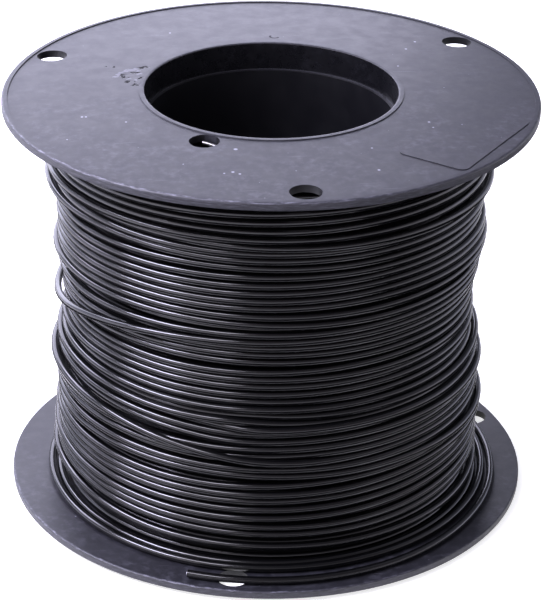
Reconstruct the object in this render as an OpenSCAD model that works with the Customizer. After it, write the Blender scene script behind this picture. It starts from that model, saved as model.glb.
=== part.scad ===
/* [Overall] */
// Height of the spool from lip to lip
overall_h = 161.6; // [110:0.1:220]
// Outer diameter of each flange
flange_d = 200; // [190:1:260]
// Diameter of the bore through each flange
bore_d = 94.5; // [70:0.5:100]

/* [Flange] */
// Wall thickness of the flange disc
flange_t = 2.8; // [2:0.1:5]
// How far the disc rises from its rim to its hub
flange_dish = 1.7; // [0:0.1:4]
// Width of the raised bead round the rim
bead_w = 2.2; // [1.5:0.1:4]
// Height of the rim bead above the disc
bead_h = 0.4; // [0.1:0.1:1]
// Radius of the rounded rim edge on the outer side
rim_round = 0.9; // [0.2:0.1:1.2]
// Radius of the rounded rim edge on the wire side
rim_round_inner = 0.5; // [0.2:0.1:1.2]
// Width of the raised lip round the bore
lip_w = 2; // [1:0.1:4]
// Height of the bore lip above the disc
lip_h = 0.3; // [0.1:0.1:1]
// Radius of the rounded edge at the mouth of the bore
bore_round = 0.5; // [0.1:0.1:0.8]
// Turn of the lower flange against the upper one
lower_flange_turn = 45; // [-180:1:180]

/* [Flange holes] */
// Diameter of the holes near the rim
rim_hole_d = 11.5; // [5:0.5:13]
// Diameter of the circle that the rim holes lie on
rim_hole_pcd = 182; // [165:1:182]
// Number of rim holes
rim_holes = 3; // [2:1:6]
// Diameter of the hole that the start of the wire shows in
start_hole_d = 11; // [4:0.5:14]
// Angle of the start hole
start_hole_angle = -123; // [-180:1:180]

/* [Mould insert pad] */
// Length of the plain raised pad
pad_l = 53; // [20:1:56]
// Width of the plain raised pad
pad_w = 27; // [10:1:28]
// Height of the pad above the disc
pad_h = 0.25; // [0.1:0.05:0.6]
// Corner radius of the pad
pad_corner = 3; // [0.5:0.5:6]
// Distance of the pad's middle from the axis
pad_r = 80.5; // [70:0.5:81]
// Direction of the pad's middle
pad_angle = -38; // [-180:1:180]

/* [Barrel] */
// Wall of the barrel between its ends
barrel_wall = 3.5; // [3:0.1:6]
// Wall of the spigot under each flange
spigot_wall = 1.1; // [0.8:0.1:1.6]
// Depth of the ledge that the spigot stands on, from the lip
ledge_depth = 11; // [7:0.5:20]
// Width of the ledge that shows inside the spigot
ledge_w = 1.25; // [0.5:0.05:2]
// Width of the window through spigot and barrel
window_w = 14; // [5:0.5:20]
// Height of the window's sill above the ledge
window_sill = 0.5; // [0.3:0.1:3]
// Direction of the window
window_angle = -17; // [-180:1:180]
// Width of the key that stops the flange from turning
key_w = 2; // [1:0.5:5]
// Height of the key above the ledge
key_h = 2; // [1:0.5:4]
// Direction of the key
key_angle = 17; // [-180:1:180]

/* [Wire] */
// Outside diameter of the wire
wire_d = 2.9; // [2:0.1:3.2]
// Diameter of the copper conductor
copper_d = 1.6; // [0.8:0.1:2]
// How far the copper stands out of the cut sheath
copper_out = 0.4; // [0.1:0.1:2]
// Angle of the loose cut end on the lower flange
end_angle = -115; // [-180:1:180]
// Length of arc of the wire's start against the barrel
tail_arc = 40; // [20:1:90]

/* [Winding] */
// Number of loops in the outer layer
loops = 24; // [12:1:24]
// Outside radius of the winding at its waist
waist_r = 78.7; // [74:0.1:81]
// How much wider the winding is beyond the waist
waist_flare = 2.6; // [0:0.1:3]
// Height of the waist
waist_z = 80; // [30:1:100]
// Height over which the waist opens out again
waist_reach = 28; // [20:1:80]
// Loop number of the slack loop
slack_loop = 16; // [6:1:18]
// How far the slack loop sags
slack_sag = 9; // [0:0.5:10]
// How far the slack loop stands off the winding
slack_lift = 4.7; // [4.5:0.1:8]

/* [Clearances] */
// Radial clearance between spigot and barrel
spigot_gap = 0.05; // [0.02:0.01:0.2]
// Clearance beside the key and above the barrel's end
joint_gap = 0.1; // [0.05:0.05:0.3]
// Clearance between the wire and the spool
wire_gap = 0.3; // [0.1:0.05:0.5]

/* [Hidden] */
$fn = 128;
spool_colour = "#2b2b30";
wire_colour = "#1b1b1d";
copper_colour = "#b4b4bc";
cut = 1;                                    // how far a cutter runs past what it cuts
flange_r = flange_d / 2;
bore_r = bore_d / 2;
spigot_r = bore_r + spigot_wall;
socket_r = spigot_r + spigot_gap;
barrel_inner_r = bore_r - ledge_w;
barrel_r = barrel_inner_r + barrel_wall;
start_hole_r = barrel_r + joint_gap + start_hole_d / 2;
seat_r = barrel_r + joint_gap;              // outer edge of the flat seat over the barrel's end
wire_r = wire_d / 2;

// Drop of the dished disc at a radius, below its height at the bore.
function dish_drop(r) = flange_dish * (r - bore_r) / (flange_r - bore_r);
// Depth of the disc's outer face and of its wire side below the lip.
function face_depth(r) = lip_h + dish_drop(r);
function inner_depth(r) = face_depth(r) + flange_t;
// Height of the wire side of the lower and of the upper flange.
function floor_z(r) = inner_depth(r);
function ceiling_z(r) = overall_h - inner_depth(r);
// Points of an arc about a centre.
function arc(centre, radius, from, to, steps = 6) = [
    for (i = [0:steps])
        let (a = from + (to - from) * i / steps)
            [centre.x + radius * cos(a), centre.y + radius * sin(a)]
];

seat_depth = inner_depth(seat_r);

// ---- flanges: a dished disc with rim bead, bore lip and spigot, drawn lip up at height 0
module flange_profile() {
    rim_top = bead_h - face_depth(flange_r);
    rim_bottom = -inner_depth(flange_r);
    polygon(concat(
        arc([bore_r + bore_round, -bore_round], bore_round, 180, 90),
        [
            [bore_r + lip_w, 0],
            [bore_r + lip_w, -face_depth(bore_r + lip_w)],
            [flange_r - bead_w, -face_depth(flange_r - bead_w)],
            [flange_r - bead_w, bead_h - face_depth(flange_r - bead_w)]
        ],
        arc([flange_r - rim_round, rim_top - rim_round], rim_round, 90, 0),
        arc([flange_r - rim_round_inner, rim_bottom + rim_round_inner], rim_round_inner, 0, -90),
        [
            [seat_r, -seat_depth],
            [spigot_r, -seat_depth],
            [spigot_r, -ledge_depth],
            [bore_r, -ledge_depth]
        ]
    ));
}

// A plain pad left by the mould's insert, as high above the dished face everywhere.
module insert_pad() {
    inner = pad_r - pad_w;
    intersection() {
        rotate([0, 0, pad_angle])
            translate([pad_r, 0, -overall_h / 2])
                linear_extrude(overall_h)
                    rounded_rectangle(pad_w, pad_l, pad_corner);
        rotate_extrude()
            polygon([
                [inner, -face_depth(inner) - flange_t / 2],
                [flange_r - bead_w, -face_depth(flange_r - bead_w) - flange_t / 2],
                [flange_r - bead_w, pad_h - face_depth(flange_r - bead_w)],
                [inner, pad_h - face_depth(inner)]
            ]);
    }
}

module rounded_rectangle(width, length, corner) {
    x = width / 2 - corner;
    y = length / 2 - corner;
    polygon(concat(
        arc([x, y], corner, 0, 90),
        arc([-x, y], corner, 90, 180),
        arc([-x, -y], corner, 180, 270),
        arc([x, -y], corner, 270, 360)
    ));
}

module flange() {
    difference() {
        union() {
            rotate_extrude() flange_profile();
            insert_pad();
        }
        for (i = [0:rim_holes - 1])
            rotate([0, 0, -90 + 360 * i / rim_holes])
                translate([rim_hole_pcd / 2, 0, -ledge_depth])
                    cylinder(d = rim_hole_d, h = ledge_depth + cut);
        rotate([0, 0, start_hole_angle])
            translate([start_hole_r, 0, -ledge_depth])
                cylinder(d = start_hole_d, h = ledge_depth + cut);
        window_cutter(seat_depth);
        rotate([0, 0, key_angle])
            translate([bore_r - cut, -key_w / 2 - joint_gap, -ledge_depth - cut])
                cube([spigot_wall + 2 * cut, key_w + 2 * joint_gap, key_h + joint_gap + cut]);
    }
}

// Cuts the window out of the walls between a depth and its sill.
module window_cutter(top_depth) {
    height = ledge_depth - window_sill - top_depth;
    rotate([0, 0, window_angle])
        translate([barrel_inner_r / 2, -window_w / 2, window_sill - ledge_depth])
            cube([barrel_r, window_w, height]);
}

module upper_flange() {
    color(spool_colour)
        translate([0, 0, overall_h])
            flange();
}

module lower_flange() {
    color(spool_colour)
        rotate([0, 0, lower_flange_turn])
            rotate([180, 0, 0])
                flange();
}

// ---- barrel: a tube whose two ends are sockets for the spigots
module barrel() {
    end_z = seat_depth + joint_gap;
    color(spool_colour) {
        difference() {
            rotate_extrude()
                polygon([
                    [barrel_inner_r, ledge_depth],
                    [socket_r, ledge_depth],
                    [socket_r, end_z],
                    [barrel_r, end_z],
                    [barrel_r, overall_h - end_z],
                    [socket_r, overall_h - end_z],
                    [socket_r, overall_h - ledge_depth],
                    [barrel_inner_r, overall_h - ledge_depth]
                ]);
            translate([0, 0, overall_h]) window_cutter(0);
            rotate([0, 0, lower_flange_turn]) rotate([180, 0, 0]) window_cutter(0);
        }
        translate([0, 0, overall_h]) key();
        rotate([0, 0, lower_flange_turn]) rotate([180, 0, 0]) key();
    }
}

// The key on the ledge, joined to the socket's wall.
module key() {
    rotate([0, 0, key_angle])
        translate([bore_r, -key_w / 2, -ledge_depth])
            cube([socket_r - bore_r + spigot_wall / 4, key_w, key_h]);
}

// ---- winding: a plain core under one outer layer of turns
rings = 24;                                 // rings in each loop
wire_sides = 6;
bend_r = 2 * wire_d;                        // tightest bend of the wire
sample_steps = 2;                           // points for each chord when the gap is measured
loose_gap = 0.65;                           // gap between loose turns on the flange
loose_r1 = 86.2;                            // radius at which the second loose turn starts
loose_end = 2.25;                           // loop number where the loose turns meet the winding
climb_end = 2.55;                           // loop number where the climb off the flange ends
slack_turn = slack_loop - 0.14;             // middle of the slack loop
slack_before = 0.11;                        // length of the slack stretch before its middle, in loops
slack_after = 0.18;                         // length of the slack stretch after its middle
slack_edge = 2;                             // how early the slack loop lifts before it sags

// Radius of the first loose turn, by the share of the turn from the cut end.
loose_route = [
    [0, 94.6], [0.07, 94.4], [0.14, 93.2], [0.21, 91], [0.29, 89.6], [0.36, 89.2],
    [0.5, 88.6], [0.65, 88.4], [0.86, 88.4], [0.93, 87.6], [1, loose_r1]
];

// Outside radius of the winding at a height.
function wound_r(z) =
    waist_r + waist_flare * pow(sin(90 * min(1, abs(z - waist_z) / waist_reach)), 2);
// A smooth hump, 1 in the middle and 0 beyond its half width.
function hump(x) = abs(x) < 1 ? (1 + cos(180 * x)) / 2 : 0;
// A smooth step from 0 to 1.
function step01(x) = x <= 0 ? 0 : x >= 1 ? 1 : (1 - cos(180 * x)) / 2;

// The second loose turn lies against the first one, or against the winding.
function loose_r(u) =
    u < 1
        ? lookup(u, loose_route)
        : max(min(loose_r1, loose_r(u - 1) - wire_d - loose_gap), wound_path_r(climb_end));
function loose_z(u) = floor_z(loose_r(u)) + wire_gap + wire_r;

bend_loops = bend_r / (2 * PI * waist_r);   // loops that the last bend takes up
first_z = floor_z(waist_r + waist_flare) + 2 * wire_gap + wire_r + wire_d + 0.4;
last_z = ceiling_z(waist_r) - wire_gap - wire_r;
pitch = (last_z - first_z) / (loops - bend_loops - climb_end);

function slack(u) =
    hump((u - slack_turn) / (u < slack_turn ? slack_before : slack_after));
function wound_z(u) = first_z + pitch * (u - climb_end) - slack_sag * slack(u);
function wound_path_r(u) =
    wound_r(first_z + pitch * (u - climb_end)) - wire_r
        + slack_lift * min(1, slack_edge * slack(u));

// Height of the wire on its way from the flange up to the first wound turn.
function climb_z(u) =
    let (share = step01((u - loose_end) / (climb_end - loose_end)))
        loose_z(u) * (1 - share) + first_z * share;

// Middle of the wire at a loop number, counted from the cut end.
function wire_point(u) =
    let (
        a = end_angle + 360 * u,
        r = u < climb_end ? loose_r(u) : wound_path_r(u),
        z = u < climb_end ? climb_z(u) : wound_z(u)
    )
        [r * cos(a), r * sin(a), z];

// The last bend turns inwards until it points at the axis, then runs straight to the core.
last_u = loops - bend_loops;
last_r = wound_path_r(last_u);
bend_end = acos(-bend_r / (last_r - bend_r));
bend_steps = 5;
core_step_r = sqrt(pow(last_r - bend_r, 2) - pow(bend_r, 2)) - wire_d;
function turn_in(a) =
    let (
        base = end_angle + 360 * last_u,
        x = last_r - bend_r + bend_r * cos(a),
        y = bend_r * sin(a)
    )
        [x * cos(base) - y * sin(base), x * sin(base) + y * cos(base), last_z];
bend_points = [for (i = [1:bend_steps]) turn_in(bend_end * i / bend_steps)];
bend_last = bend_points[bend_steps - 1];
straight_end = bend_last * core_step_r / (core_step_r + wire_d);
wire_path = concat(
    [
        for (i = [0:rings * last_u])
            let (u = i / rings)
                each slack(u) + slack(u + 0.5 / rings) > 0
                    ? [wire_point(u), wire_point(u + 0.5 / rings)]
                    : [wire_point(u)]
    ],
    bend_points,
    [[straight_end.x, straight_end.y, last_z]]
);

// Least distance between the surfaces of parts of the wire that are half a loop or more apart.
function chord_points(path) = [
    for (i = [0:len(path) - 2], k = [0:sample_steps - 1])
        path[i] + (path[i + 1] - path[i]) * k / sample_steps
];
function least_gap(points) =
    let (loop = rings * sample_steps)
        min([
            for (i = [0:len(points) - 1])
                for (j = [i + loop / 2:1:len(points) - 1])
                    norm(points[i] - points[j])
        ]) - wire_d;

function unit(v) = v / norm(v);
// One ring of a tube, square to its path; ref is any direction that the path doesn't take.
function ring(centre, along, ref, radius, sides) =
    let (
        side = unit(cross(along, ref)),
        up = cross(side, unit(along))
    )
        [for (k = [0:sides - 1]) centre + radius * (side * cos(360 * k / sides) + up * sin(360 * k / sides))];

// One closed tube along a path; each point has its own reference direction.
module tube(path, refs, diameter, sides) {
    n = len(path);
    points = [
        for (i = [0:n - 1])
            let (along = path[min(i + 1, n - 1)] - path[max(i - 1, 0)])
                each ring(path[i], along, refs[i], diameter / 2, sides)
    ];
    walls = [
        for (i = [0:n - 2], k = [0:sides - 1])
            let (
                a = i * sides + k,
                b = i * sides + (k + 1) % sides
            )
                each [[a, b, b + sides], [a, b + sides, a + sides]]
    ];
    start_cap = [for (k = [1:sides - 2]) [0, k + 1, k]];
    end_cap = [for (k = [1:sides - 2]) (n - 1) * sides * [1, 1, 1] + [0, k, k + 1]];
    polyhedron(points, concat(walls, start_cap, end_cap));
}

module outer_windings() {
    echo(least_gap_of_the_winding = least_gap(chord_points(wire_path)));
    color(wire_colour)
        tube(wire_path, [for (p = wire_path) [0, 0, 1]], wire_d, wire_sides);
}

// ---- start of the wire: it rises beside the barrel and ends in the start hole
tail_r = barrel_r + wire_gap + wire_r;
tail_z = ceiling_z(tail_r) - wire_gap - wire_r;
tail_floor_z = tail_z - bend_r - wire_d;
tail_bend_steps = 6;
tail_arc_steps = 8;
tail_bend_angle = bend_r / tail_r * 180 / PI;
function on_barrel(a, z) = [tail_r * cos(a), tail_r * sin(a), z];
tail_path = concat(
    [on_barrel(start_hole_angle + tail_arc + tail_bend_angle, tail_floor_z)],
    [
        for (i = [0:tail_bend_steps])
            let (a = 90 * i / tail_bend_steps)
                on_barrel(
                    start_hole_angle + tail_arc + tail_bend_angle * cos(a),
                    tail_z - bend_r + bend_r * sin(a)
                )
    ],
    [for (i = [1:tail_arc_steps]) on_barrel(start_hole_angle + tail_arc * (1 - i / tail_arc_steps), tail_z)]
);

module wire_start_tail() {
    color(wire_colour)
        tube(tail_path, [for (p = tail_path) unit([p.x, p.y, 0])], wire_d, 8);
}

// ---- core: the inner layers of wire, under the outer turns
core_inner_r = barrel_r + wire_gap;
core_steps = 14;
groove_r = tail_r + wire_r + wire_gap;      // outer wall of the groove that the start lies in
core_foot = 4;                              // height of the bevel at the foot of the core
core_foot_in = 2;                           // how far the bevel goes in

function core_r(z) = (wound_r(z) - wire_r) * cos(180 / rings) - wire_r - wire_gap;

module inner_windings() {
    low_z = floor_z(core_r(0)) + wire_gap;
    step_z = last_z - wire_r - wire_gap;
    side_low = low_z + core_foot;
    color(wire_colour)
        rotate_extrude()
            polygon(concat(
                [
                    [core_inner_r, floor_z(core_inner_r) + wire_gap],
                    [core_r(low_z) - core_foot_in, floor_z(core_r(low_z) - core_foot_in) + wire_gap]
                ],
                [
                    for (i = [0:core_steps])
                        let (z = side_low + (step_z - side_low) * i / core_steps)
                            [core_r(z), z]
                ],
                [
                    [core_step_r - wire_gap / 3, step_z],
                    [core_step_r - wire_gap / 3, ceiling_z(core_step_r) - wire_gap],
                    [groove_r, ceiling_z(groove_r) - wire_gap],
                    [groove_r, tail_floor_z],
                    [core_inner_r, tail_floor_z]
                ]
            ));
}

// ---- copper: the conductor in the cut end of the wire
module copper_conductor() {
    p = wire_path[0];
    along = unit(wire_path[0] - wire_path[1]);
    color(copper_colour)
        translate(p)
            rotate([0, 0, atan2(along.y, along.x)])
                rotate([0, 90, 0])
                    cylinder(d = copper_d, h = copper_out);
}

upper_flange();
lower_flange();
barrel();
inner_windings();
outer_windings();
wire_start_tail();
copper_conductor();
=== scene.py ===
import math

import bpy
import numpy as np
from mathutils import Matrix, Vector


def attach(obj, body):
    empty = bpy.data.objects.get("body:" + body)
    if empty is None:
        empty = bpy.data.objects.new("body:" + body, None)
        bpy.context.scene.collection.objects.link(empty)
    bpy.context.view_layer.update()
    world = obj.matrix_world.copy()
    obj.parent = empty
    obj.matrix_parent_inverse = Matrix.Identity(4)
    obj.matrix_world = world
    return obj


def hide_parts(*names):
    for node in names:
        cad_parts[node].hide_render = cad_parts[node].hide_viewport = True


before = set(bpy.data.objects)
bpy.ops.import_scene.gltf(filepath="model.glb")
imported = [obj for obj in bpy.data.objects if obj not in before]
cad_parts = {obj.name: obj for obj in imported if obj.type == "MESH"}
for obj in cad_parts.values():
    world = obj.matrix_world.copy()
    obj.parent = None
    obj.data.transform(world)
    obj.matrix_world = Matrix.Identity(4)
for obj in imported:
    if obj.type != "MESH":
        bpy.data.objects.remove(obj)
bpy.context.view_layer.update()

mm = 0.001      # sizes are in millimetres, apart from those that say otherwise


def colour(code):
    # an sRGB hex code as the linear colour that shaders take
    parts = [int(code[i:i + 2], 16) / 255 for i in (1, 3, 5)]
    return (*[p / 12.92 if p <= 0.04045 else ((p + 0.055) / 1.055) ** 2.4 for p in parts], 1)


def addNode(tree, kind, inputs=None, stops=None, **settings):
    # a node with its settings, its inputs set or linked, and the stops of a colour ramp
    node = tree.nodes.new(kind)
    for name, value in settings.items():
        setattr(node, name, value)
    while stops and len(node.color_ramp.elements) < len(stops):
        node.color_ramp.elements.new(0.5)
    for i, (place, value) in enumerate(stops or []):
        node.color_ramp.elements[i].position = place
        node.color_ramp.elements[i].color = (value, value, value, 1)
    for key, value in (inputs or {}).items():
        if isinstance(value, bpy.types.Node):
            value = value.outputs[0]
        if isinstance(value, bpy.types.NodeSocket):
            tree.links.new(value, node.inputs[key])
        else:
            node.inputs[key].default_value = value
    return node


def newMaterial(name):
    material = bpy.data.materials.new(name)
    material.use_nodes = True
    material.node_tree.nodes.clear()
    return material, material.node_tree


def meshObject(name, points, faces, material, smooth=True):
    # an object with the given points in metres and faces
    mesh = bpy.data.meshes.new(name)
    mesh.from_pydata([tuple(p) for p in points], [], [tuple(f) for f in faces])
    mesh.polygons.foreach_set("use_smooth", [smooth] * len(mesh.polygons))
    mesh.materials.append(material)
    made = bpy.data.objects.new(name, mesh)
    bpy.context.scene.collection.objects.link(made)
    return made


camera = {
    "place": (-0.1223, -0.8997, 0.5246),    # metres
    "heading": 7.806,       # degrees from +Y towards +X
    "pitch": 26.40,         # degrees down
    "roll": 0.0152,         # radians
    "lens": 157.6,
    "sensor": 36,
    "nearest": 0.05,        # metres
}


def placeCamera(spec):
    heading, pitch, roll = math.radians(spec["heading"]), math.radians(spec["pitch"]), spec["roll"]
    forward = Vector((
        math.sin(heading) * math.cos(pitch),
        math.cos(heading) * math.cos(pitch),
        -math.sin(pitch),
    ))
    side = Vector((math.cos(heading), -math.sin(heading), 0))
    up = side.cross(forward)
    right = math.cos(roll) * side + math.sin(roll) * up
    top = -math.sin(roll) * side + math.cos(roll) * up
    data = bpy.data.cameras.new("camera")
    data.lens = spec["lens"]
    data.sensor_width = spec["sensor"]
    data.clip_start = spec["nearest"]
    made = bpy.data.objects.new("camera", data)
    made.matrix_world = Matrix((
        (right.x, top.x, -forward.x, spec["place"][0]),
        (right.y, top.y, -forward.y, spec["place"][1]),
        (right.z, top.z, -forward.z, spec["place"][2]),
        (0, 0, 0, 1),
    ))
    bpy.context.scene.collection.objects.link(made)
    bpy.context.scene.camera = made


placeCamera(camera)
scene = bpy.context.scene
scene.view_settings.view_transform = "Standard"
print("camera placed")


# sizes of the moulded parts that the wire and the finishes follow
spool = {
    "height": 161.6,
    "boreRadius": 47.25,
    "flangeRadius": 100,
    "flangeWall": 2.8,
    "flangeDish": 1.7,          # how far the rim lies below the bore's edge
    "lip": 0.3,
    "ledgeDepth": 11,
}

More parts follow.
